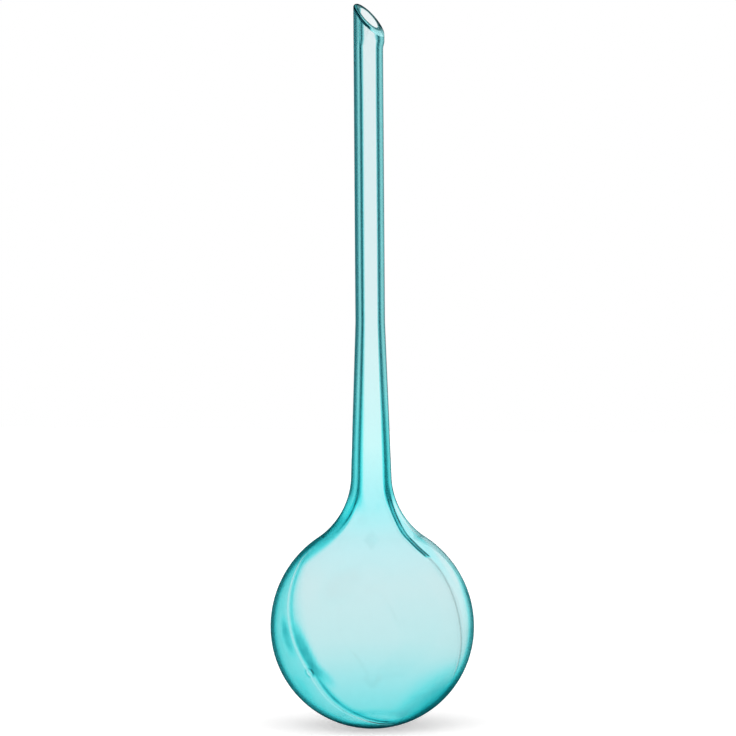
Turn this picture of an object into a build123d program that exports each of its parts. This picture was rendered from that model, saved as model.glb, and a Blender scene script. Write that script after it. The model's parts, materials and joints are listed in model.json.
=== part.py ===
"""Watering globe: a hollow glass globe on a long thick-walled stem with a slant-cut mouth.

Millimetres. +Z runs up the stem to the mouth. The origin is on the stem's axis at the depth stop,
where the straight shank begins to swell towards the neck. The mouth slants down towards +X.
"""

import os
from math import atan2, cos, degrees, radians, tan

from build123d import *

# Driving dimensions
overall_length = 270.0  # globe's base to the highest point of the rounded mouth
shank_length = 119.0  # depth stop to the highest point of the rounded mouth
stem_diameter = 11.0
stem_bore = 6.8
foot_length = 56.0  # depth stop down to where foot_diameter and foot_bore are measured
foot_diameter = 15.0
foot_bore = 10.0
globe_diameter = 75.8
crown_rise = 39.7  # globe's widest circle up to where its crown would close over the axis
globe_wall = 1.2
base_wall = 3.0
neck_sweep_radius = 28.0  # outside of the hollow curve from the globe's crown to the stem's foot
neck_wall = 2.4  # glass between the outside and inside curves of the neck
mouth_slant = 50.0  # degrees between the mouth and the horizontal
rim_round = 0.4
lip_swell = 0.2  # how far the flame-softened lip stands out from the shank
swell_length = 2.5  # length of tube over which the lip swells out
lip_land = 1.5  # upright lip left below the lowest point of the mouth

# Worked out from the driving dimensions
stem_radius = stem_diameter / 2
bore_radius = stem_bore / 2
globe_radius = globe_diameter / 2
widest_z = shank_length - overall_length + globe_radius
slant = radians(mouth_slant)
rounding_loss = rim_round * (tan(slant) + 1 / cos(slant) - 1)
sharp_tip_z = shank_length + rounding_loss
lip_radius = stem_radius + lip_swell
lip_land_z = sharp_tip_z - 2 * lip_radius * tan(slant) - lip_land
tip_splice_z = lip_land_z - swell_length


def upright_arc(half_width, reach):
    """Centre's distance from the axis, radius and angle of an arc that starts upright at half_width
    from the axis and ends on the axis, reach away along it."""
    radius = (half_width**2 + reach**2) / (2 * half_width)
    centre_x = half_width - radius
    return centre_x, radius, degrees(atan2(reach, -centre_x))


def vessel_form(belly_radius, depth, rise, stop_radius, foot_radius, sweep_radius):
    """Half section of a round belly that sweeps up into the stem's foot and ends at the depth stop.

    From its widest circle the belly goes down by depth, and its crown would close at rise above
    it, but the foot runs into the crown and the hollow corner between them is swept round.
    """
    base_x, base_radius, base_angle = upright_arc(belly_radius, depth)
    crown_x, crown_radius, crown_angle = upright_arc(belly_radius, rise)
    foot_spread = (foot_radius - stop_radius) / foot_length
    with BuildSketch(Plane.XZ) as form:
        with BuildLine():
            base = CenterArc((base_x, widest_z), base_radius, -base_angle, base_angle)
            crown = CenterArc((crown_x, widest_z), crown_radius, 0, crown_angle)
            Line(crown @ 1, base @ 0)
        make_face()
        with BuildLine():
            Polyline(
                (0, 0),
                (stop_radius, 0),
                (stop_radius - foot_spread * widest_z, widest_z),
                (0, widest_z),
                close=True,
            )
        make_face()
        hollow_corner = form.vertices().sort_by(Axis.Y)[2]
        fillet(hollow_corner, sweep_radius)
    return form


# Outside of the globe, neck and foot, and the water space inside them
outside = vessel_form(
    globe_radius, globe_radius, crown_rise, stem_radius, foot_diameter / 2, neck_sweep_radius
)
water_space = vessel_form(
    globe_radius - globe_wall,
    globe_radius - base_wall,
    crown_rise - globe_wall,
    bore_radius,
    foot_bore / 2,
    neck_sweep_radius + neck_wall,
)
with BuildSketch(Plane.XZ) as glass_section:
    add(outside.sketch_local)
    add(water_space.sketch_local, mode=Mode.SUBTRACT)

# Globe, neck and stem are spliced at the two ends of the neck's outside curve
sweep_ends = outside.vertices().sort_by(Axis.Y)[2:4]
globe_splice = Plane.XY.offset(sweep_ends[0].Y)
neck_splice = Plane.XY.offset(sweep_ends[1].Y)

# The slanting cut, through the sharp tip that the rim would have before it is rounded
mouth = Plane(
    origin=(-lip_radius, 0, sharp_tip_z), x_dir=(0, 1, 0), z_dir=(tan(slant), 0, 1)
)

# Globe
with BuildPart() as globe:
    add(glass_section.sketch)
    revolve(axis=Axis.Z)
    split(bisect_by=globe_splice, keep=Keep.BOTTOM)
globe.part.label = "globe"

# Neck
with BuildPart() as neck:
    add(glass_section.sketch)
    revolve(axis=Axis.Z)
    split(bisect_by=globe_splice, keep=Keep.TOP)
    split(bisect_by=neck_splice, keep=Keep.BOTTOM)
neck.part.label = "neck"

# Stem: the swelling foot and the straight shank in one length of tube
with BuildPart() as stem:
    add(glass_section.sketch)
    revolve(axis=Axis.Z)
    split(bisect_by=neck_splice, keep=Keep.TOP)
    with BuildSketch(Plane.XY):
        Circle(stem_radius)
        Circle(bore_radius, mode=Mode.SUBTRACT)
    extrude(amount=tip_splice_z)
stem.part.label = "stem"

# Mouth tip: the end of the tube, swollen a little and cut on the slant, its edges rounded in the flame
with BuildPart() as mouth_tip:
    with BuildSketch(Plane.XZ):
        with BuildLine():
            Polyline(
                (bore_radius, tip_splice_z),
                (stem_radius, tip_splice_z),
                (lip_radius, lip_land_z),
                (lip_radius, sharp_tip_z),
                (bore_radius, sharp_tip_z),
                close=True,
            )
        make_face()
    revolve(axis=Axis.Z)
    split(bisect_by=mouth, keep=Keep.BOTTOM)
    fillet(mouth_tip.edges().filter_by(GeomType.ELLIPSE), rim_round)
mouth_tip.part.label = "mouth_tip"

os.makedirs("parts", exist_ok=True)
for section in (globe, neck, stem, mouth_tip):
    export_step(section.part, f"parts/{section.part.label}.step")
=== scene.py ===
import json
from math import acos, atan2, cos, exp, pi, radians, sin, sqrt, tan

import bmesh
import bpy
from mathutils import Matrix, Vector


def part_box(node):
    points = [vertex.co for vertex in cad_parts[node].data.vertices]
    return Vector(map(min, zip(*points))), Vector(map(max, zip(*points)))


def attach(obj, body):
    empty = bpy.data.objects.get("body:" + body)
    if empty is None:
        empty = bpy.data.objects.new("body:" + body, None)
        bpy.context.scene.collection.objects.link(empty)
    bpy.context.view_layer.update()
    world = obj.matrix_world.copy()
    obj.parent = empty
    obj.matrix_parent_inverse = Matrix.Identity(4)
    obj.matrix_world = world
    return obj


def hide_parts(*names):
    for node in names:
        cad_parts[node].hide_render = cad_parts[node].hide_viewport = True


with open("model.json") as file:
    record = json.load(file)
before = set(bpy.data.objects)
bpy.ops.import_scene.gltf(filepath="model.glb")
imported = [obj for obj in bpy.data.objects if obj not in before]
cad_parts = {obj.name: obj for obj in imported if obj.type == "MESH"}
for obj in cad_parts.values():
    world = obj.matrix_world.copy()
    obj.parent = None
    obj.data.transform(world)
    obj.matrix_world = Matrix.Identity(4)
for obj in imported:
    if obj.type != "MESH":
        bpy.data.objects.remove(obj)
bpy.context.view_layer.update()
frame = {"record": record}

# Heights and radii that the frame gives, in metres
globeLow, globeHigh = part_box("globe")
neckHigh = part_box("neck")[1]
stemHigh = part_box("stem")[1]
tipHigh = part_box("mouth_tip")[1]
mountSizes = {mount["name"]: mount["dims"] for mount in frame["record"]["mounts"]}
shankRadius = mountSizes["stem"]["r_mm"] / 1000
boreRadius = mountSizes["fill_bore"]["r_mm"] / 1000
globeRadius = globeHigh.x
crownRing = neckHigh.x  # radius where the globe is fused to the neck
footRing = stemHigh.x  # radius where the neck is fused to the stem
lipRadius = tipHigh.x
baseZ = globeLow.z
widestZ = baseZ + globeRadius
globeTop = globeHigh.z
neckTop = neckHigh.z
shankTop = stemHigh.z
tipTop = tipHigh.z
weld = 1e-7  # points nearer than this are one
hair = 1e-6  # margin for comparing places
globeAcross = round(2000 * globeRadius, 1)
wholeLength = round(1000 * (tipTop - baseZ), 1)
print("frame read: globe", globeAcross, "mm across,", wholeLength, "mm long")

# Viewing angle and framing of the photograph
shot = {
    "azimuth": radians(36),
    "distance": 1.05,
    "sensorWidth": 36,
    "frameHeight": 0.2742,
    "centreZ": -0.0169,
    "sideStep": -0.00093,
    "lean": radians(0.4),
}


def levelWay(angle):
    return Vector((cos(angle), sin(angle), 0))


photoRight = levelWay(shot["azimuth"])
photoFront = Vector((photoRight.y, -photoRight.x, 0))


def setCamera():
    lens = bpy.data.cameras.new("product_camera")
    lens.sensor_width = shot["sensorWidth"]
    lens.lens = shot["sensorWidth"] * shot["distance"] / shot["frameHeight"]
    camera = bpy.data.objects.new("product_camera", lens)
    bpy.context.collection.objects.link(camera)
    up = Vector((0, 0, 1))
    right = photoRight * cos(shot["lean"]) - up * sin(shot["lean"])
    cameraUp = photoRight * sin(shot["lean"]) + up * cos(shot["lean"])
    back = photoFront
    place = photoRight * shot["sideStep"] + up * shot["centreZ"] + back * shot["distance"]
    camera.matrix_world = Matrix((
        (right.x, cameraUp.x, back.x, place.x),
        (right.y, cameraUp.y, back.y, place.y),
        (right.z, cameraUp.z, back.z, place.z),
        (0, 0, 0, 1),
    ))
    bpy.context.scene.camera = camera


setCamera()
bpy.context.scene.view_settings.view_transform = "Standard"
print("camera set")


def addPiece(name, bm, materials):
    mesh = bpy.data.meshes.new(name)
    bm.to_mesh(mesh)
    bm.free()
    for material in materials:
        mesh.materials.append(material)
    piece = bpy.data.objects.new(name, mesh)
    bpy.context.collection.objects.link(piece)
    return piece


def smooth(value):
    value = min(max(value, 0), 1)
    return value * value * (3 - 2 * value)


def between(value, low, high):
    return smooth((value - low) / (high - low))


def mixed(pair, share):
    return pair[0] + (pair[1] - pair[0]) * share


def hump(value, reach):
    return exp(-((value / reach) ** 2))


# Flat-topped patch, flatter the sharper it is
def patch(off, sharp):
    return exp(-(off**sharp))


# Two depths of colour laid over each other
def over(depth, more):
    return depth + more - depth * max(more, 0)


# Smooth course through stops of place and value
def along(stops, place):
    last = len(stops) - 2
    count = 0
    while count < last and place > stops[count + 1][0]:
        count += 1
    (fromPlace, fromValue), (toPlace, toValue) = stops[count], stops[count + 1]
    before, after = stops[max(count - 1, 0)], stops[min(count + 2, last + 1)]
    run = toPlace - fromPlace
    share = min(max((place - fromPlace) / run, 0), 1)
    fromSlope = (toValue - before[1]) / (toPlace - before[0]) * run
    toSlope = (after[1] - fromValue) / (after[0] - fromPlace) * run
    bent = share * (1 - share) * ((1 - share) * fromSlope - share * toSlope)
    return mixed((fromValue, toValue), smooth(share)) + bent


# Half section of the glass: arcs are swung and runs are drawn in the XZ plane
def swing(bm, vert, centre, angle, steps):
    swung = bmesh.ops.spin(
        bm, geom=[vert], cent=(centre[0], 0, centre[1]), axis=(0, -1, 0), angle=angle, steps=steps
    )
    return [made for made in swung["geom_last"] if isinstance(made, bmesh.types.BMVert)][0]


def draw(bm, vert, place, steps):
    step = (Vector((place[0], 0, place[1])) - vert.co) / steps
    for count in range(steps):
        vert = bmesh.ops.extrude_vert_indiv(bm, verts=[vert])["verts"][0]
        vert.co += step
    return vert


glassBody = {
    "wall": 0.0012,
    "baseWall": 0.0015,
    "sweepWall": 0.0024,
    "footBoreRadius": 0.005,
    "footLength": 0.056,
    "baseRows": 60,
    "crownRows": 40,
    "sweepRows": 40,
    "footRows": 20,
    "shankRows": 34,
    "aroundSteps": 160,
    "startAngle": radians(66.6),
    # the bore wanders from the middle of the tube, as in hand-drawn glass
    "boreDrift": 0.00034,
    "boreWay": radians(36),
}
boreWay = levelWay(glassBody["boreWay"])
mouth = {
    "slant": radians(49.5),
    "swellLength": 0.0025,
    "swellRows": 4,
    # the lip swells at its low end only, by where a point lies between the tip and there
    "swellSpan": (-0.5, 0.5),
    "lowSwell": 0.0004,
    "outerRound": 0.0006,
    "innerRound": 0.0006,
    "roundRows": 8,
    "flatRows": 8,
    "wallRows": 30,
    "boreRows": 8,
    # the tip is melted rounder than the rest of the rim
    "melted": 0.0015,
    "tipRound": 0.0013,
    "meltReach": 0.75,
    "meltDrop": 2.2,
    # painted shade on the rim, near and far as seen from the front: a dark band below the near edge, a
    # pale flat, a dark inner edge and far side
    "nearSpan": (-0.2, 0.2),
    "rimBlend": 0.0003,
    "bandDepth": 1.1,
    "bandReach": 0.0014,
    "bandSharp": 0.8,
    "bandShare": (0.95, 1.05),
    "bandTaper": 0.65,
    "taperSpan": (0.1, 0.75),
    "bandFade": (0.85, 0.6),
    "flatDepth": 0.28,
    "innerShare": (0.62, 0.45),
    "innerDepth": 0.4,
    "innerShade": 0.72,
    "farShare": (-0.56, -0.5),
    "farFade": (1.0, 0.85),
    "farDepth": 0.35,
    "farShade": 0.95,
    # at the mouth the bore lies off to the far side of the view
    "drift": 0.0007,
    "driftWay": radians(110),
    "driftRun": 0.02,
}
# The mouth is drawn level, at the height where the slanting cut crosses the axis
mouthSlope = tan(mouth["slant"])
rimZ = tipTop - mouthSlope * lipRadius + mouth["melted"]
lipZ = shankTop + mouth["swellLength"]
roundZ = rimZ - max(mouth["outerRound"], mouth["innerRound"]) - hair  # where the rim's rounding begins
outerEdge = lipRadius - mouth["outerRound"]
innerEdge = boreRadius + mouth["innerRound"]
slots = {"outside": 0, "inside": 1, "rim": 2, "fused": 3}


# Centre, radius and angle of an arc that starts upright and ends on the axis
def uprightArc(halfWidth, reach):
    radius = (halfWidth**2 + reach**2) / (2 * halfWidth)
    return halfWidth - radius, radius, atan2(reach, radius - halfWidth)


# Outline of one side of the wall, from the axis at the base up to the end of the shank
def drawWall(bm, depth, halfWidth, rise, stopRadius, footSpread, sweep):
    baseX, _, baseAngle = uprightArc(halfWidth, depth)
    crownX, crownRadius, _ = uprightArc(halfWidth, rise)
    # centre of the sweep that touches the crown and the foot's slope from outside
    slope = sqrt(1 + footSpread**2)
    reach = stopRadius + sweep * slope - footSpread * widestZ - crownX
    span = crownRadius + sweep
    lift = (reach * footSpread + sqrt(span**2 * slope**2 - reach**2)) / slope**2
    sweepX = crownX + reach - footSpread * lift
    swept = atan2(lift, sweepX - crownX)
    footTurn = swept - atan2(footSpread, 1)
    vert = bm.verts.new((0, 0, widestZ - depth))
    vert = swing(bm, vert, (baseX, widestZ), baseAngle, glassBody["baseRows"])
    vert = swing(bm, vert, (crownX, widestZ), swept, glassBody["crownRows"])
    vert = swing(bm, vert, (sweepX, widestZ + lift), -footTurn, glassBody["sweepRows"])
    vert = draw(bm, vert, (stopRadius, 0), glassBody["footRows"])
    return draw(bm, vert, (stopRadius, shankTop), glassBody["shankRows"])


# The inside up to the mouth, then the outside and over the rim
def drawSection(bm, inside):
    # the outside's crown and sweep are worked back from the frame's splices
    inset = globeRadius - crownRing
    crownRadius = (inset**2 + (globeTop - widestZ) ** 2) / (2 * inset)
    rise = sqrt(crownRadius**2 - (crownRadius - globeRadius) ** 2)
    outward = Vector((crownRadius - inset, globeTop - widestZ)).normalized()
    chord = Vector((crownRing - footRing, globeTop - neckTop))
    sweep = -chord.length_squared / (2 * chord.dot(outward))
    footSpread = (footRing - shankRadius) / -neckTop
    boreSpread = (glassBody["footBoreRadius"] - boreRadius) / glassBody["footLength"]
    inner = drawWall(
        bm,
        globeRadius - glassBody["baseWall"],
        globeRadius - glassBody["wall"],
        rise - glassBody["wall"],
        boreRadius,
        boreSpread,
        sweep + glassBody["sweepWall"],
    )
    inner = draw(bm, inner, (boreRadius, lipZ), mouth["swellRows"])
    inner = draw(bm, inner, (boreRadius, rimZ - mouth["innerRound"]), mouth["boreRows"])
    for vert in bm.verts:
        vert[inside] = 1
    outer = drawWall(bm, globeRadius, globeRadius, rise, shankRadius, footSpread, sweep)
    outer = draw(bm, outer, (lipRadius, lipZ), mouth["swellRows"])
    outer = draw(bm, outer, (lipRadius, rimZ - mouth["outerRound"]), mouth["wallRows"])
    outer = swing(bm, outer, (outerEdge, rimZ - mouth["outerRound"]), pi / 2, mouth["roundRows"])
    outer = draw(bm, outer, (innerEdge, rimZ), mouth["flatRows"])
    outer = swing(bm, outer, (innerEdge, rimZ - mouth["innerRound"]), pi / 2, mouth["roundRows"])
    bmesh.ops.pointmerge(bm, verts=[inner, outer], merge_co=inner.co)


def spinSection(bm):
    start = Matrix.Rotation(glassBody["startAngle"], 3, "Z")
    bmesh.ops.rotate(bm, verts=bm.verts[:], cent=(0, 0, 0), matrix=start)
    bmesh.ops.spin(
        bm, geom=bm.verts[:] + bm.edges[:], cent=(0, 0, 0), axis=(0, 0, 1), angle=2 * pi,
        steps=glassBody["aroundSteps"], use_merge=True,
    )
    bmesh.ops.remove_doubles(bm, verts=bm.verts[:], dist=weld)
    bmesh.ops.recalc_face_normals(bm, faces=bm.faces[:])


def setSlots(bm, inside):
    for face in bm.faces:
        if min(vert.co.z for vert in face.verts) > roundZ:
            face.material_index = slots["rim"]
        elif all(vert[inside] > 0.5 for vert in face.verts):
            face.material_index = slots["inside"]
        else:
            face.material_index = slots["outside"]


# Painted shade on the rim, by how far below it, across it and round it a point lies
def paintRim(vert, paintedShadeAndLight, shade):
    ring = vert.co.xy.length
    low = vert.co.x / ring
    near = between(vert.co.dot(photoFront) / ring, *mouth["nearSpan"])
    share = (ring - innerEdge) / (outerEdge - innerEdge)
    below = (rimZ - vert.co.z) * (1 - mouthSlope * vert.co.x / (roundZ - lipZ))
    onRim = between(vert.co.z, roundZ - mouth["rimBlend"], roundZ)
    reach = mouth["bandReach"] * (1 - mouth["bandTaper"] * between(low, *mouth["taperSpan"]))
    band = between(below, reach, mouth["bandSharp"] * reach) * between(share, *mouth["bandShare"])
    band *= near * between(low, *mouth["bandFade"])
    edge = near * onRim * between(share, *mouth["innerShare"])
    far = (1 - near) * onRim * between(share, *mouth["farShare"]) * between(low, *mouth["farFade"])
    vert[paintedShadeAndLight] = max(
        mouth["flatDepth"] * onRim,
        mouth["bandDepth"] * band,
        mouth["innerDepth"] * edge,
        mouth["farDepth"] * far,
    )
    vert[shade] = max(mouth["innerShade"] * edge, mouth["farShade"] * far)


# The bore's drift dies out in the neck, and near the mouth it goes over into the mouth's own
def driftBore(vert, isInside):
    drift = boreWay * glassBody["boreDrift"]
    mouthDrift = levelWay(mouth["driftWay"]) * mouth["drift"]
    if isInside:
        wander = between(vert.co.z, globeTop, neckTop)
        nearMouth = between(vert.co.z, shankTop - mouth["driftRun"], shankTop)
        vert.co += drift * wander * (1 - nearMouth) + mouthDrift * nearMouth
    elif vert.co.z > rimZ - mouth["outerRound"] + hair:
        vert.co += mouthDrift * between(vert.co.xy.length, lipRadius, boreRadius)


# The lip swells, the mouth slants and the tip melts rounder than the rest
def shapeMouth(vert):
    height = vert.co.z
    ring = vert.co.xy.length
    low = vert.co.x / ring
    swell = (lipRadius - shankRadius) * (between(low, *mouth["swellSpan"]) - 1)
    swell += mouth["lowSwell"] * max(low, 0)
    swell *= between(ring, boreRadius, lipRadius) * between(height, shankTop, lipZ)
    vert.co.xy *= 1 + swell / lipRadius
    slanted = min(max((height - lipZ) / (roundZ - lipZ), 0), 1)
    melt = hump(acos(-low), mouth["meltReach"]) * (mouth["tipRound"] - mouth["outerRound"])
    sunk = max(ring - (lipRadius - mouth["tipRound"]), 0) / mouth["tipRound"]
    vert.co.z -= mouthSlope * vert.co.x * slanted
    vert.co.z -= melt * mouth["meltDrop"] * sunk**2 * slanted**2


# Each point is marked as inside or not, and with its depth of painted shade and light, its painted
# highlight and its painted shade
def buildBody():
    bm = bmesh.new()
    layers = bm.verts.layers.float
    for name in ("inside", "paintedShadeAndLight", "paintedHighlight", "shade"):
        layers.new(name)
    inside, paintedShadeAndLight, shade = layers["inside"], layers["paintedShadeAndLight"], layers["shade"]
    drawSection(bm, inside)
    spinSection(bm)
    setSlots(bm, inside)
    for vert in bm.verts:
        isInside = vert[inside] > 0.5
        if vert.co.z > lipZ and not isInside:
            paintRim(vert, paintedShadeAndLight, shade)
        driftBore(vert, isInside)
        if vert.co.z >= shankTop - hair:
            shapeMouth(vert)
    return bm


# The lines the mould's halves left, which lean across the globe and die out up the foot
seam = {
    "openAngle": radians(-20.8),
    # how far each line stands off along the mould's opening, by height
    "left": [
        (-0.151, 0.0155), (-0.139, 0.0116), (-0.128, 0.0097), (-0.116, 0.0048), (-0.102, -0.0003),
        (-0.091, -0.0034), (-0.086, -0.004), (-0.077, 0.0018), (-0.068, 0.0029), (-0.045, 0.0022),
    ],
    "right": [
        (-0.151, 0.0027), (-0.125, 0.0026), (-0.106, 0.0), (-0.091, -0.0022), (-0.086, -0.0041),
        (-0.082, -0.0051), (-0.073, -0.0023), (-0.063, -0.0013), (-0.045, -0.0015),
    ],
    "slopeStep": 0.0005,  # height over which a line's slope is taken
    "leastRun": 0.2,  # where the surface turns away from the opening
    "halfWidth": 0.0011,
    "height": 0.00006,
    # the mesh is cut finer within reach of the lines, up to where they end
    "reach": 0.0035,
    "cuts": 5,
    "topZ": -0.045,
    "topMargin": 0.001,
    # a nub on the left line, with a painted highlight in the middle and painted shade round its foot
    "nubZ": -0.1275,
    "nubHeight": 0.00022,
    "nubRadius": 0.0011,
    "nubBright": 0.8,
    "nubBrightReach": 0.00066,
    "nubFootDepth": 0.6,
    "nubFootAway": 0.00165,
    "nubFootReach": 0.00055,
    # left line: a painted highlight on its crest, with a flank of painted shade that grows deeper towards
    # the base and painted light beside it low down, and painted shade on the neck
    "paintedHighlight": 0.85,
    "crestReach": 0.001,
    "crestFade": (-0.09, -0.082),
    "underFade": (0.0, 0.005),
    "flankAway": (0.0019, 0.0027),
    "flankReach": (0.001, 0.0014),
    "flankDepth": (0.46, 0.86),
    "lowSpan": (-0.122, -0.134),
    "lightAway": 0.0004,
    "lightReach": 0.0015,
    "lightDepth": 0.3,
    "neckReach": 0.0008,
    "neckDepth": 1.0,
    "neckSpan": (-0.079, -0.072),
    "neckFade": (-0.067, -0.06),
    # right line: a faint grey line of painted shade, turning into a bold double line of painted shade on
    # the neck
    "thinReach": 0.0007,
    "thinShade": 0.55,
    "thinEnd": (-0.134, -0.126),
    "boldSpan": (-0.0868, -0.0856),
    "boldFade": (-0.066, -0.058),
    "boldAway": 0.00105,
    "boldReach": 0.0007,
    "boldDepth": (1.0, 1.15),
    "boldFill": 0.7,
    "boldFillAway": 0.00168,
}
openWay = levelWay(seam["openAngle"])
leftWay = Vector((openWay.y, -openWay.x, 0))


def fromSeam(place, line):
    return place.dot(openWay) - along(seam[line], place.z)


# That distance measured along the surface
def overSurface(place, normal, line):
    step = seam["slopeStep"]
    tilt = (along(seam[line], place.z + step) - along(seam[line], place.z - step)) / (2 * step)
    slope = openWay - Vector((0, 0, tilt))
    run = (slope - normal * slope.dot(normal)).length
    return fromSeam(place, line) / max(run, seam["leastRun"])


# The right line is laid out on the far side of the globe and brought round to the front
def mirrored(place):
    return place - photoFront * (2 * place.dot(photoFront))


def nearSeam(place):
    opposite = mirrored(place)
    nearLeft = place.dot(leftWay) > 0 and abs(fromSeam(place, "left")) < seam["reach"]
    nearRight = opposite.dot(leftWay) < 0 and abs(fromSeam(opposite, "right")) < seam["reach"]
    return nearLeft or nearRight


def cutSeam(bm, inside):
    near = []
    for face in bm.faces:
        middle = face.calc_center_median()
        if face.material_index == slots["outside"] and middle.z < seam["topZ"] and nearSeam(middle):
            near.append(face)
    edges = list(dict.fromkeys(edge for face in near for edge in face.edges))
    bmesh.ops.subdivide_edges(bm, edges=edges, cuts=seam["cuts"], use_grid_fill=True)
    # new points go from the flat faces out to the round
    step = 2 * pi / glassBody["aroundSteps"]
    for vert in bm.verts:
        if vert[inside] < 0.5 and vert.co.z < seam["topZ"] + seam["topMargin"]:
            turn = (atan2(vert.co.y, vert.co.x) - glassBody["startAngle"]) % step - step / 2
            rounding = cos(turn) / cos(step / 2)
            vert.co.x *= rounding
            vert.co.y *= rounding
    bm.normal_update()


def ridge(away):
    return seam["height"] * cos(pi / 2 * min(abs(away) / seam["halfWidth"], 1)) ** 2


def nubPlace():
    ring = sqrt(globeRadius**2 - (seam["nubZ"] - widestZ) ** 2)
    angle = seam["openAngle"] - acos(along(seam["left"], seam["nubZ"]) / ring)
    return Vector((ring * cos(angle), ring * sin(angle), seam["nubZ"]))


# Paints the left line's highlight and shade at a point, and gives its height there
def paintLeft(vert, fromNub, paintedShadeAndLight, paintedHighlight):
    height = vert.co.z
    away = overSurface(vert.co, vert.normal, "left")
    fade = 1 - between(height, *seam["crestFade"])
    fade *= between(vert.co.dot(leftWay), *seam["underFade"])
    low = between(height, *seam["lowSpan"])
    flankOff = away - mixed(seam["flankAway"], low)
    flank = mixed(seam["flankDepth"], low) * hump(flankOff, mixed(seam["flankReach"], low))
    light = seam["lightDepth"] * low * hump(away - seam["lightAway"], seam["lightReach"])
    neck = between(height, *seam["neckSpan"]) * (1 - between(height, *seam["neckFade"]))
    crestBright = seam["paintedHighlight"] * fade * smooth(1 - abs(away) / seam["crestReach"])
    nubBright = seam["nubBright"] * hump(fromNub, seam["nubBrightReach"])
    vert[paintedHighlight] = max(crestBright, nubBright)
    vert[paintedShadeAndLight] += fade * (flank - light)
    vert[paintedShadeAndLight] += neck * seam["neckDepth"] * hump(away, seam["neckReach"])
    vert[paintedShadeAndLight] += seam["nubFootDepth"] * hump(fromNub - seam["nubFootAway"], seam["nubFootReach"])
    return fade * ridge(away)


# Paints the right line's shade at a point, and gives its height there
def paintRight(vert, paintedShadeAndLight, shade):
    height = vert.co.z
    away = overSurface(mirrored(vert.co), mirrored(vert.normal), "right")
    bold = between(height, *seam["boldSpan"])
    thin = (1 - bold) * between(height, *seam["thinEnd"])
    bold *= 1 - between(height, *seam["boldFade"])
    depth = seam["boldFill"] * smooth((seam["boldFillAway"] - abs(away)) / seam["boldReach"])
    for lineDepth, side in zip(seam["boldDepth"], (-1, 1)):
        lineOff = away - side * seam["boldAway"]
        depth += (lineDepth - seam["boldFill"]) * hump(lineOff, seam["boldReach"])
    vert[shade] += thin * seam["thinShade"] * hump(away, seam["thinReach"])
    vert[paintedShadeAndLight] += bold * depth
    return max(thin, bold) * ridge(away)


def raiseSeam(bm):
    layers = bm.verts.layers.float
    inside, paintedShadeAndLight, paintedHighlight, shade = (layers[name] for name in ("inside", "paintedShadeAndLight", "paintedHighlight", "shade"))
    cutSeam(bm, inside)
    nub = nubPlace()
    moves = []
    for vert in bm.verts:
        if vert[inside] > 0.5 or vert.co.z > seam["topZ"]:
            continue
        fromNub = (vert.co - nub).length
        lift = seam["nubHeight"] * hump(fromNub, seam["nubRadius"])
        if vert.co.dot(leftWay) > 0:
            lift += paintLeft(vert, fromNub, paintedShadeAndLight, paintedHighlight)
        if mirrored(vert.co).dot(leftWay) < 0:
            lift += paintRight(vert, paintedShadeAndLight, shade)
        moves.append((vert, vert.normal * lift))
    for vert, move in moves:
        vert.co += move


# Patches of painted shade, deeper teal, on one side or the other of the left line
shadePatches = [
    {"z": -0.119, "spread": 0.009, "away": 0.004, "reach": 0.003, "depth": 0.7},
    {"z": -0.1262, "spread": 0.0032, "away": 0.0036, "reach": 0.0018, "depth": 0.5},
    {"z": -0.1285, "spread": 0.004, "away": 0.0058, "reach": 0.0024, "depth": 0.4},
    {"z": -0.1145, "spread": 0.0065, "away": -0.0038, "reach": 0.0027, "depth": 0.55},
    {"z": -0.1335, "spread": 0.005, "away": -0.009, "reach": 0.003, "depth": 0.12},
]
shadePatchSharp = 2
# Painted shade on the left, up the neck too, and on the right painted light on the shoulder and painted
# shade up the neck: height, depth of colour and the span of the half width over which it comes in
sides = {
    "left": [
        (-0.151, 0.2, 0.5, 0.85), (-0.123, 0.3, 0.6, 0.8), (-0.1, 0.31, 0.72, 0.93),
        (-0.09, 0.38, 0.8, 0.95), (-0.086, 0.5, 0.72, 0.9), (-0.082, 0.58, 0.64, 0.82),
        (-0.0735, 0.58, 0.68, 0.72), (-0.064, 0.2, 0.65, 0.72), (-0.04, 0.15, 0.62, 0.72),
        (-0.025, 0.0, 0.62, 0.72),
    ],
    "right": [
        (-0.1, 0.0, 0.88, 0.97), (-0.094, -0.45, 0.86, 0.96), (-0.088, -0.7, 0.85, 0.95),
        (-0.08, -0.75, 0.86, 0.95), (-0.072, -0.55, 0.88, 0.96), (-0.067, -0.1, 0.8, 0.9),
        (-0.063, 0.3, 0.64, 0.72), (-0.04, 0.25, 0.66, 0.74), (-0.025, 0.0, 0.7, 0.8),
    ],
    # painted shade in a band nearer the middle on the right
    "rightWall": [
        (-0.1, 0.0, 0.75, 0.85), (-0.09, 0.1, 0.72, 0.82), (-0.072, 0.13, 0.77, 0.86),
        (-0.066, 0.0, 0.78, 0.86),
    ],
}
# Painted shade at the base, painted light at its very bottom, and painted shade in a patch low on the
# right
base = {
    "span": (-0.1468, -0.1488),
    "depth": 0.42,
    "paintedLightSpan": (-0.149, -0.1502),
    "paintedLightShare": 1.7,
    "cornerAngle": radians(52),
    "cornerReach": 0.5,
    "cornerSpread": 0.55,
    "cornerSharp": 2.5,
    "cornerDepth": 0.72,
}
# Painted light in a lane beside the bore's dark line on the thinner side, by the share of the half width
lightLane = {
    "side": (0.4, 0.48),  # on the shank and down the foot
    "sideSpan": (0, -0.05),
    "reach": 0.11,
    "depth": -0.7,
    "span": (-0.078, -0.07),
    "end": 0.004,
}


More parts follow.
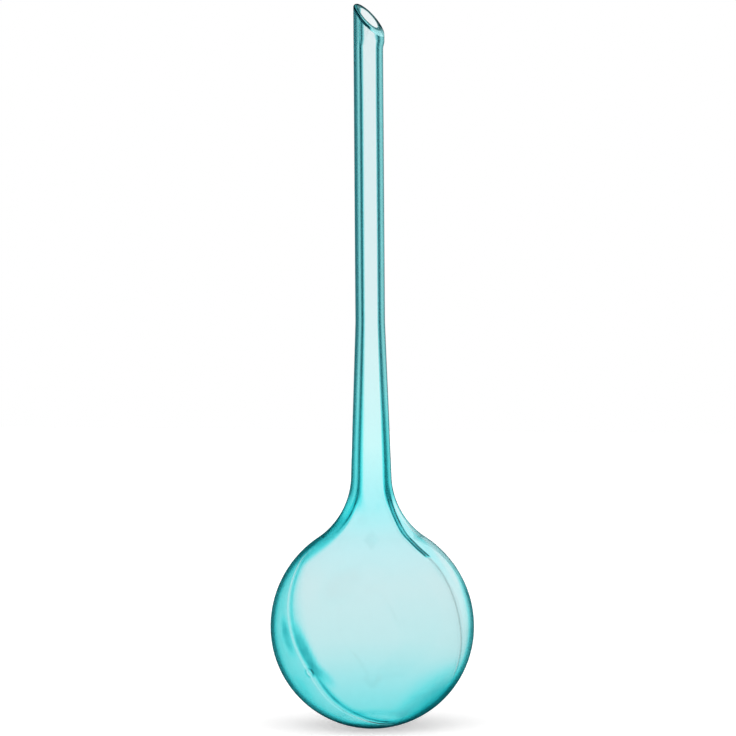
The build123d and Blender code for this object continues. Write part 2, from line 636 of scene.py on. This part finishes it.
def sideDepth(wall, height, side):
    stops = sides[wall]
    for low, high in zip(stops, stops[1:]):
        if low[0] <= height <= high[0]:
            share = (height - low[0]) / (high[0] - low[0])
            depth, sideFrom, sideTo = (mixed(pair, share) for pair in zip(low[1:], high[1:]))
            return depth * between(side, sideFrom, sideTo)
    return 0


def lightLaneDepth(height, side):
    place = mixed(lightLane["side"], between(height, *lightLane["sideSpan"]))
    depth = lightLane["depth"] * between(height, *lightLane["span"])
    depth *= between(height, shankTop + lightLane["end"], shankTop)
    return depth * hump(side - place, lightLane["reach"])


# Depths of painted shade at the base, painted light at its very bottom, painted shade in the patch low on
# the right and in the patches beside the left line
def paintedPatchDepths(place):
    # painted light at the very bottom, which turns the painted shade there to light
    thin = base["paintedLightShare"] * between(place.z, *base["paintedLightSpan"])
    under = base["depth"] * between(place.z, *base["span"]) * (1 - thin)
    way = (place - Vector((0, 0, widestZ))).normalized()
    turn = atan2(-way.z, way.dot(boreWay)) - base["cornerAngle"]
    aside = way.dot(Vector((-boreWay.y, boreWay.x, 0)))
    off = (turn / base["cornerReach"]) ** 2 + (aside / base["cornerSpread"]) ** 2
    depths = [under, base["cornerDepth"] * patch(off, base["cornerSharp"])]
    if place.dot(leftWay) >= 0:
        for spot in shadePatches:
            off = ((fromSeam(place, "left") - spot["away"]) / spot["reach"]) ** 2
            off += ((place.z - spot["z"]) / spot["spread"]) ** 2
            depths.append(spot["depth"] * patch(off, shadePatchSharp))
    return depths


# Lays the painted shade and light onto the outside of the glass
def paintShadeAndLight(bm):
    inside = bm.verts.layers.float["inside"]
    paintedShadeAndLight = bm.verts.layers.float["paintedShadeAndLight"]
    for vert in bm.verts:
        if vert[inside] > 0.5:
            continue
        height = vert.co.z
        side = vert.co.dot(boreWay) / max(vert.co.xy.length, hair)
        walls = (("left", -side), ("rightWall", side), ("right", side))
        depths = [sideDepth(wall, height, place) for wall, place in walls]
        if height <= globeTop:
            depths += paintedPatchDepths(vert.co)
        for depth in depths:
            vert[paintedShadeAndLight] = over(vert[paintedShadeAndLight], depth)
        if height > globeTop:
            vert[paintedShadeAndLight] += lightLaneDepth(height, side)


# Rings at the splices, and normals kept so that light passes them as in one piece of glass
def markSplices(bm):
    for level in (globeTop, neckTop, shankTop):
        bmesh.ops.bisect_plane(
            bm, geom=bm.verts[:] + bm.edges[:] + bm.faces[:], dist=weld,
            plane_co=(0, 0, level), plane_no=(0, 0, 1),
        )
    bm.normal_update()
    turned = bm.verts.layers.float_vector.new("turned")
    for vert in bm.verts:
        vert[turned] = vert.normal


# One section of the body, with a flat face where it is fused to the next
def takeSection(body, low, high):
    bm = body.copy()
    for level, side in ((low, -1), (high, 1)):
        if level is None:
            continue
        bmesh.ops.bisect_plane(
            bm, geom=bm.verts[:] + bm.edges[:] + bm.faces[:], dist=weld,
            plane_co=(0, 0, level), plane_no=(0, 0, side), clear_outer=True,
        )
        ring = [edge for edge in bm.edges if edge.is_boundary]
        for face in bmesh.ops.bridge_loops(bm, edges=ring)["faces"]:
            face.material_index = slots["fused"]
        for edge in ring:
            edge.smooth = False
    bmesh.ops.recalc_face_normals(bm, faces=bm.faces[:])
    for face in bm.faces:
        face.smooth = face.material_index != slots["fused"]
    return bm


def keepNormals(mesh):
    turned = mesh.attributes["turned"].data
    normals = []
    for polygon in mesh.polygons:
        isFused = polygon.material_index == slots["fused"]
        for vertex in polygon.vertices:
            normals.append(tuple(polygon.normal if isFused else turned[vertex].vector))
    mesh.normals_split_custom_set(normals)
    mesh.attributes.remove(mesh.attributes["turned"])


body = buildBody()
raiseSeam(body)
paintShadeAndLight(body)
markSplices(body)
print("glass body spun:", len(body.faces), "faces")


glassLook = {
    "ior": 1.5,
    "rimClear": 0.45,
    "fusedColour": (0.7, 0.93, 0.94),
    "paintedHighlightColour": (0.95, 1, 1),
    "shadeColour": (0.004, 0.02, 0.022),
    # the painted shade and light is made patchy as smoke
    "smokeScale": 90,
    "smokeDetail": 3,
    "smokeSpan": (0.35, 0.65),
    "smokeDepth": (0.86, 1.12),
    # colour let through, by the share of the way from the base to the tip
    "tints": [
        (0.0, (0.32, 0.86, 0.88)),
        (0.04, (0.5, 0.89, 0.91)),
        (0.11, (0.73, 0.92, 0.93)),
        (0.2, (0.8, 0.93, 0.94)),
        (0.25, (0.76, 0.95, 0.97)),
        (0.31, (0.65, 0.97, 0.99)),
        (0.39, (0.79, 1.0, 1.0)),
        (0.6, (0.85, 0.95, 0.96)),
        (1.0, (0.87, 0.94, 0.95)),
    ],
    # light that passes to the floor, by how steeply it meets the glass
    "shades": [(0.0, 1.0), (0.3, 1.0), (0.55, 0.4), (0.85, 0.0)],
    # colour left as the depth grows, partly the deeper colour of a longer way through the glass and
    # partly painted shade, in the globe and neck and in the tube
    "globeDepths": [
        (0.0, (1, 1, 1)),
        (0.15, (0.62, 0.97, 0.98)),
        (0.35, (0.2, 0.9, 0.91)),
        (0.5, (0.09, 0.77, 0.79)),
        (0.65, (0.03, 0.5, 0.53)),
        (0.8, (0.01, 0.31, 0.34)),
        (0.9, (0.0025, 0.09, 0.1)),
        (1.0, (0.0001, 0.008, 0.012)),
    ],
    "tubeDepths": [
        (0.0, (1, 1, 1)),
        (0.15, (0.62, 0.92, 0.93)),
        (0.35, (0.2, 0.7, 0.72)),
        (0.5, (0.09, 0.52, 0.54)),
        (0.65, (0.03, 0.29, 0.31)),
        (0.8, (0.01, 0.14, 0.16)),
        (0.9, (0.002, 0.045, 0.055)),
        (1.0, (0.0001, 0.008, 0.012)),
    ],
    "depthsOver": (-0.055, -0.01),
    # the foot's bore is wider, so its lines stand nearer the edge
    "footSpan": (-0.046, 0.0),
    "footFacing": 0.75,
    # and the lines stand nearer the edge on the side that the bore drifts to
    "driftFacing": 0.3,
}
# Depth of colour by how steeply the glass stands to the eye, in the thin globe and in the thick tube,
# and the heights between which the one goes over into the other: partly the glass's deeper colour along a
# longer way, partly painted shade for the dark edges and for the dark lines beside the bore
outsideEdge = {
    "globe": [
        (0.0, 0.0), (0.53, 0.0), (0.61, 0.08), (0.65, 0.19), (0.703, 0.5), (0.737, 0.76), (0.78, 0.86),
        (1.0, 0.83),
    ],
    "stem": [
        (0.0, 0.0), (0.05, 0.0), (0.115, 0.62), (0.147, 0.86), (0.175, 0.95), (0.228, 0.86), (0.26, 0.66),
        (0.3, 0.53), (0.36, 0.54), (0.42, 0.75), (0.6, 0.94), (1.0, 0.88),
    ],
    "over": (-0.072, -0.062),
}
# The same where the eye's ray meets the inside: partly deeper colour, partly painted shade at its edges
insideEdge = {
    "globe": [(0.0, 0.0), (0.8, 0.0), (1.0, 0.5)],
    "stem": [(0.0, 0.0), (0.5, 0.0), (0.65, 0.6), (1.0, 0.7)],
    "over": (-0.078, -0.066),
}
# And on the rim: partly deeper colour, partly painted shade at its edges
rimEdge = {
    "globe": [(0.0, 0.0), (0.6, 0.0), (1.0, 0.6)],
    "stem": [(0.0, 0.0), (0.6, 0.0), (1.0, 0.6)],
    "over": (-0.084, -0.072),
}


def addNode(tree, kind, place, **values):
    node = tree.nodes.new(kind)
    node.location = place
    for name, value in values.items():
        setattr(node, name, value)
    return node


def fillRamp(node, stops):
    ramp = node.color_ramp
    ramp.elements.remove(ramp.elements[1])
    for count, (place, colour) in enumerate(stops):
        element = ramp.elements[0] if count == 0 else ramp.elements.new(place)
        element.position = place
        element.color = (*colour, 1) if isinstance(colour, tuple) else (colour, colour, colour, 1)


def setRange(node, name, span):
    for end, value in zip((" Min", " Max"), span):
        node.inputs[name + end].default_value = value


# Depth of painted shade and light, patchy as smoke
def patchyShadeAndLight(tree, coords):
    link = tree.links.new
    smoke = addNode(tree, "ShaderNodeTexNoise", (-1000, -500))
    smoke.inputs["Scale"].default_value = glassLook["smokeScale"]
    smoke.inputs["Detail"].default_value = glassLook["smokeDetail"]
    link(coords.outputs["Object"], smoke.inputs["Vector"])
    patchy = addNode(tree, "ShaderNodeMapRange", (-750, -500))
    setRange(patchy, "From", glassLook["smokeSpan"])
    setRange(patchy, "To", glassLook["smokeDepth"])
    link(smoke.outputs["Fac"], patchy.inputs["Value"])
    paintedShadeAndLight = addNode(tree, "ShaderNodeAttribute", (-750, -800), attribute_name="paintedShadeAndLight")
    paintedDepth = addNode(tree, "ShaderNodeMath", (-500, -500), operation="MULTIPLY")
    link(paintedShadeAndLight.outputs["Fac"], paintedDepth.inputs[0])
    link(patchy.outputs[0], paintedDepth.inputs[1])
    return paintedDepth.outputs[0]


# Colour left at a depth, in the globe and neck below and in the tube above
def depthColour(tree, depth, height):
    link = tree.links.new
    upTube = addNode(tree, "ShaderNodeMapRange", (-250, -600), interpolation_type="SMOOTHSTEP")
    setRange(upTube, "From", glassLook["depthsOver"])
    link(height, upTube.inputs["Value"])
    deep = addNode(tree, "ShaderNodeMix", (100, -300), data_type="RGBA")
    link(upTube.outputs[0], deep.inputs[0])
    for count, name in enumerate(("globeDepths", "tubeDepths")):
        ramp = addNode(tree, "ShaderNodeValToRGB", (-150, -200 - 250 * count))
        fillRamp(ramp, glassLook[name])
        link(depth, ramp.inputs["Fac"])
        link(ramp.outputs["Color"], deep.inputs[6 + count])
    return deep.outputs[2]


# Colour of the wall: the tint at its height, painted shade at its edge and from the painted depth, and
# the painted lines
def makeTintAndShade():
    tree = bpy.data.node_groups.new("tint_and_painted_shade", "ShaderNodeTree")
    link = tree.links.new
    for name in ("Globe Depth", "Stem Depth", "Over From", "Over To"):
        tree.interface.new_socket(name=name, in_out="INPUT", socket_type="NodeSocketFloat")
    tree.interface.new_socket(name="Colour", in_out="OUTPUT", socket_type="NodeSocketColor")
    given = addNode(tree, "NodeGroupInput", (-1400, -300))
    result = addNode(tree, "NodeGroupOutput", (900, 0))
    coords = addNode(tree, "ShaderNodeTexCoord", (-1400, 100))
    parts = addNode(tree, "ShaderNodeSeparateXYZ", (-1200, 100))
    link(coords.outputs["Object"], parts.inputs[0])
    height = addNode(tree, "ShaderNodeMapRange", (-1000, 300))
    setRange(height, "From", (baseZ, tipTop))
    link(parts.outputs["Z"], height.inputs["Value"])
    tint = addNode(tree, "ShaderNodeValToRGB", (-700, 300))
    fillRamp(tint, glassLook["tints"])
    link(height.outputs[0], tint.inputs["Fac"])
    # thin blown globe below, thick drawn tube above
    upNeck = addNode(tree, "ShaderNodeMapRange", (-1000, 0), interpolation_type="SMOOTHSTEP")
    link(parts.outputs["Z"], upNeck.inputs["Value"])
    link(given.outputs["Over From"], upNeck.inputs["From Min"])
    link(given.outputs["Over To"], upNeck.inputs["From Max"])
    edge = addNode(tree, "ShaderNodeMix", (-700, -100), data_type="FLOAT")
    link(upNeck.outputs[0], edge.inputs[0])
    link(given.outputs["Globe Depth"], edge.inputs[2])
    link(given.outputs["Stem Depth"], edge.inputs[3])
    # the edge shade and the painted shade laid over each other, and painted light taken off
    paintedDepth = patchyShadeAndLight(tree, coords)
    clear = addNode(tree, "ShaderNodeMath", (-500, -250), operation="SUBTRACT", use_clamp=True)
    clear.inputs[0].default_value = 1
    link(paintedDepth, clear.inputs[1])
    depth = addNode(tree, "ShaderNodeMath", (-250, -200), operation="MULTIPLY_ADD", use_clamp=True)
    link(edge.outputs[0], depth.inputs[0])
    link(clear.outputs[0], depth.inputs[1])
    link(paintedDepth, depth.inputs[2])
    deep = depthColour(tree, depth.outputs[0], parts.outputs["Z"])
    colour = addNode(tree, "ShaderNodeMix", (250, 0), data_type="RGBA", blend_type="MULTIPLY")
    colour.inputs[0].default_value = 1
    link(tint.outputs["Color"], colour.inputs[6])
    link(deep, colour.inputs[7])
    # painted highlight on the left line's crest, and painted shade on other lines
    for count, name in enumerate(("paintedHighlight", "shade")):
        line = addNode(tree, "ShaderNodeAttribute", (250 + 230 * count, -300), attribute_name=name)
        lined = addNode(tree, "ShaderNodeMix", (480 + 200 * count, 0), data_type="RGBA")
        lined.inputs[7].default_value = (*glassLook[name + "Colour"], 1)
        link(line.outputs["Fac"], lined.inputs[0])
        link(colour.outputs[2], lined.inputs[6])
        colour = lined
    link(colour.outputs[2], result.inputs["Colour"])
    return tree


tintAndShade = makeTintAndShade()


# How steeply the tube stands to the eye, scaled so that its painted shade lines keep to the bore
def tubeFacing(tree, facing):
    link = tree.links.new
    coords = addNode(tree, "ShaderNodeTexCoord", (-1600, -300))
    parts = addNode(tree, "ShaderNodeSeparateXYZ", (-1400, -300))
    foot = addNode(tree, "ShaderNodeMapRange", (-1200, -300))
    setRange(foot, "From", glassLook["footSpan"])
    setRange(foot, "To", (glassLook["footFacing"], 1))
    link(coords.outputs["Object"], parts.inputs[0])
    link(parts.outputs["Z"], foot.inputs["Value"])
    level = addNode(tree, "ShaderNodeVectorMath", (-1600, -600), operation="MULTIPLY")
    level.inputs[1].default_value = (1, 1, 0)
    outward = addNode(tree, "ShaderNodeVectorMath", (-1400, -600), operation="NORMALIZE")
    drifted = addNode(tree, "ShaderNodeVectorMath", (-1200, -600), operation="DOT_PRODUCT")
    drifted.inputs[1].default_value = boreWay
    thinner = addNode(tree, "ShaderNodeMath", (-1000, -600), operation="MULTIPLY_ADD")
    thinner.inputs[1].default_value = -glassLook["driftFacing"]
    thinner.inputs[2].default_value = 1
    link(coords.outputs["Object"], level.inputs[0])
    link(level.outputs[0], outward.inputs[0])
    link(outward.outputs[0], drifted.inputs[0])
    link(drifted.outputs["Value"], thinner.inputs[0])
    # the painted shade lines are drawn where the eye's ray enters, not where it leaves
    surface = addNode(tree, "ShaderNodeNewGeometry", (-1600, -900))
    entering = addNode(tree, "ShaderNodeMath", (-1400, -900), operation="SUBTRACT")
    entering.inputs[0].default_value = 1
    link(surface.outputs["Backfacing"], entering.inputs[1])
    inTube = facing
    for count, scale in enumerate((foot, thinner, entering)):
        scaled = addNode(tree, "ShaderNodeMath", (-800 + 150 * count, -600), operation="MULTIPLY")
        link(inTube, scaled.inputs[0])
        link(scale.outputs[0], scaled.inputs[1])
        inTube = scaled.outputs[0]
    return inTube


def makeGlass(name, edge, clear=1.0):
    material = bpy.data.materials.new(name)
    material.use_nodes = True
    tree = material.node_tree
    link = tree.links.new
    shader = tree.nodes["Principled BSDF"]
    shader.inputs["Roughness"].default_value = 0
    shader.inputs["IOR"].default_value = glassLook["ior"]
    shader.inputs["Transmission Weight"].default_value = clear
    shader.inputs["Metallic"].default_value = 0
    facing = addNode(tree, "ShaderNodeLayerWeight", (-1000, 0)).outputs["Facing"]
    tint = addNode(tree, "ShaderNodeGroup", (-450, 0), node_tree=tintAndShade)
    for count, steepness in enumerate((facing, tubeFacing(tree, facing))):
        wall = ("globe", "stem")[count]
        ramp = addNode(tree, "ShaderNodeValToRGB", (-780, -250 * count))
        fillRamp(ramp, edge[wall])
        link(steepness, ramp.inputs["Fac"])
        link(ramp.outputs["Color"], tint.inputs[wall.title() + " Depth"])
    tint.inputs["Over From"].default_value, tint.inputs["Over To"].default_value = edge["over"]
    # the light that reaches the floor through the glass comes out grey
    path = addNode(tree, "ShaderNodeLightPath", (-450, 350))
    shade = addNode(tree, "ShaderNodeValToRGB", (-780, 350))
    fillRamp(shade, glassLook["shades"])
    mix = addNode(tree, "ShaderNodeMix", (-200, 100), data_type="RGBA")
    link(facing, shade.inputs["Fac"])
    link(path.outputs["Diffuse Depth"], mix.inputs[0])
    link(tint.outputs["Colour"], mix.inputs[6])
    link(shade.outputs["Color"], mix.inputs[7])
    link(mix.outputs[2], shader.inputs["Base Color"])
    return material


# The faces between two sections are not seen
def makeFused():
    material = bpy.data.materials.new("fused_face")
    material.use_nodes = True
    shader = material.node_tree.nodes["Principled BSDF"]
    shader.inputs["Base Color"].default_value = (*glassLook["fusedColour"], 1)
    shader.inputs["Alpha"].default_value = 0
    return material


# In the order of the slots
glassMaterials = [
    makeGlass("outside_glass", outsideEdge),
    makeGlass("inside_glass", insideEdge),
    makeGlass("rim_glass", rimEdge, glassLook["rimClear"]),
    makeFused(),
]
print("materials made")

for name, node, low, high in (
    ("globe_glass", "globe", None, globeTop),
    ("neck_glass", "neck", globeTop, neckTop),
    ("stem_glass", "stem", neckTop, shankTop),
    ("mouth_glass", "mouth_tip", shankTop, None),
):
    section = takeSection(body, low, high)
    piece = addPiece(name, section, glassMaterials)
    keepNormals(piece.data)
    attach(piece, "root")
    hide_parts(node)
    print(name, "made,", len(piece.data.polygons), "faces")
body.free()


# Floor, light and what the glass mirrors
studio = {
    "floorReach": 4.0,
    "floorGlow": 0.24,
    "frontLight": 1.0,
    "cardRadius": 0.7,
    "cardHeight": 1.6,
    "cardDrop": 0.01,
    "cardSides": 48,
    "cardColour": (0.006, 0.07, 0.09),
    "panelColour": (0.45, 0.8, 0.82),
    "panelSize": (0.26, 0.7),
    "panelRight": 0.34,
    "panelBack": 0.33,
    "panelZ": 0.07,
    "panelFade": (-0.22, -0.03),
}


def makeGlow(name, colour):
    material = bpy.data.materials.new(name)
    material.use_nodes = True
    tree = material.node_tree
    tree.nodes.remove(tree.nodes["Principled BSDF"])
    glow = addNode(tree, "ShaderNodeEmission", (0, 0))
    glow.inputs["Color"].default_value = (*colour, 1)
    tree.links.new(glow.outputs[0], tree.nodes["Material Output"].inputs["Surface"])
    return material


# Pale above, going over into the dark of the cards below
def makePanelGlow():
    material = makeGlow("pale_panel", studio["panelColour"])
    tree = material.node_tree
    coords = addNode(tree, "ShaderNodeTexCoord", (-900, 0))
    parts = addNode(tree, "ShaderNodeSeparateXYZ", (-700, 0))
    fade = addNode(tree, "ShaderNodeMapRange", (-500, 0), interpolation_type="SMOOTHSTEP")
    setRange(fade, "From", studio["panelFade"])
    mix = addNode(tree, "ShaderNodeMix", (-250, 0), data_type="RGBA")
    mix.inputs[6].default_value = (*studio["cardColour"], 1)
    mix.inputs[7].default_value = (*studio["panelColour"], 1)
    tree.links.new(coords.outputs["Object"], parts.inputs[0])
    tree.links.new(parts.outputs["Z"], fade.inputs["Value"])
    tree.links.new(fade.outputs[0], mix.inputs[0])
    tree.links.new(mix.outputs[2], tree.nodes["Emission"].inputs["Color"])
    return material


# White paper that the camera sees a little overexposed, so that only the near shadow shows, and that is
# plain white through the glass
def makePaper():
    material = bpy.data.materials.new("white_paper")
    material.use_nodes = True
    tree = material.node_tree
    shader = tree.nodes["Principled BSDF"]
    shader.inputs["Base Color"].default_value = (1, 1, 1, 1)
    shader.inputs["Roughness"].default_value = 1
    shader.inputs["Specular IOR Level"].default_value = 0
    shader.inputs["Emission Color"].default_value = (1, 1, 1, 1)
    path = addNode(tree, "ShaderNodeLightPath", (-500, -300))
    lift = addNode(tree, "ShaderNodeMath", (-250, -300), operation="MULTIPLY")
    lift.inputs[1].default_value = studio["floorGlow"]
    tree.links.new(path.outputs["Is Camera Ray"], lift.inputs[0])
    tree.links.new(lift.outputs[0], shader.inputs["Emission Strength"])
    plain = addNode(tree, "ShaderNodeEmission", (0, -500))
    mix = addNode(tree, "ShaderNodeMixShader", (300, 0))
    tree.links.new(path.outputs["Is Transmission Ray"], mix.inputs[0])
    tree.links.new(shader.outputs[0], mix.inputs[1])
    tree.links.new(plain.outputs[0], mix.inputs[2])
    tree.links.new(mix.outputs[0], tree.nodes["Material Output"].inputs["Surface"])
    return material


def makeFloor():
    bm = bmesh.new()
    bmesh.ops.create_grid(bm, x_segments=1, y_segments=1, size=studio["floorReach"])
    bmesh.ops.translate(bm, verts=bm.verts[:], vec=(0, 0, baseZ))
    floor = addPiece("studio_floor", bm, [makePaper()])
    floor.visible_glossy = False
    return floor


# Dark cards all round
def makeCards():
    bm = bmesh.new()
    bmesh.ops.create_cone(
        bm, cap_ends=True, segments=studio["cardSides"], radius1=studio["cardRadius"],
        radius2=studio["cardRadius"], depth=studio["cardHeight"],
    )
    middleZ = baseZ - studio["cardDrop"] + studio["cardHeight"] / 2
    bmesh.ops.translate(bm, verts=bm.verts[:], vec=(0, 0, middleZ))
    return addPiece("studio_cards", bm, [makeGlow("dark_card", studio["cardColour"])])


# A pale panel behind to the right, turned towards the glass
def makePanel():
    bm = bmesh.new()
    bmesh.ops.create_grid(bm, x_segments=1, y_segments=1, size=0.5)
    bmesh.ops.scale(bm, verts=bm.verts[:], vec=(*studio["panelSize"], 1))
    place = photoRight * studio["panelRight"] - photoFront * studio["panelBack"]
    place.z = studio["panelZ"]
    turn = (-place).to_track_quat("Z", "Y").to_matrix().to_4x4()
    bmesh.ops.transform(bm, verts=bm.verts[:], matrix=Matrix.Translation(place) @ turn)
    return addPiece("studio_panel", bm, [makePanelGlow()])


# What lights the floor comes more from the front than from behind, one on average
def lightWorld():
    world = bpy.data.worlds.new("white_studio")
    bpy.context.scene.world = world
    world.use_nodes = True
    tree = world.node_tree
    background = tree.nodes["Background"]
    background.inputs["Color"].default_value = (1, 1, 1, 1)
    coords = addNode(tree, "ShaderNodeTexCoord", (-900, 0))
    front = addNode(tree, "ShaderNodeVectorMath", (-700, 0), operation="DOT_PRODUCT")
    front.inputs[1].default_value = photoFront * studio["frontLight"]
    path = addNode(tree, "ShaderNodeLightPath", (-700, -250))
    strength = addNode(tree, "ShaderNodeMath", (-450, 0), operation="MULTIPLY_ADD")
    strength.inputs[2].default_value = 1
    tree.links.new(coords.outputs["Generated"], front.inputs[0])
    tree.links.new(front.outputs["Value"], strength.inputs[0])
    tree.links.new(path.outputs["Is Diffuse Ray"], strength.inputs[1])
    tree.links.new(strength.outputs[0], background.inputs["Strength"])


floor = makeFloor()
cards = makeCards()
panel = makePanel()
# only reflections show the cards and the panel
for piece in (cards, panel):
    piece.visible_camera = False
    piece.visible_diffuse = False
    piece.visible_transmission = False
    piece.visible_shadow = False
lightWorld()
print("studio set")
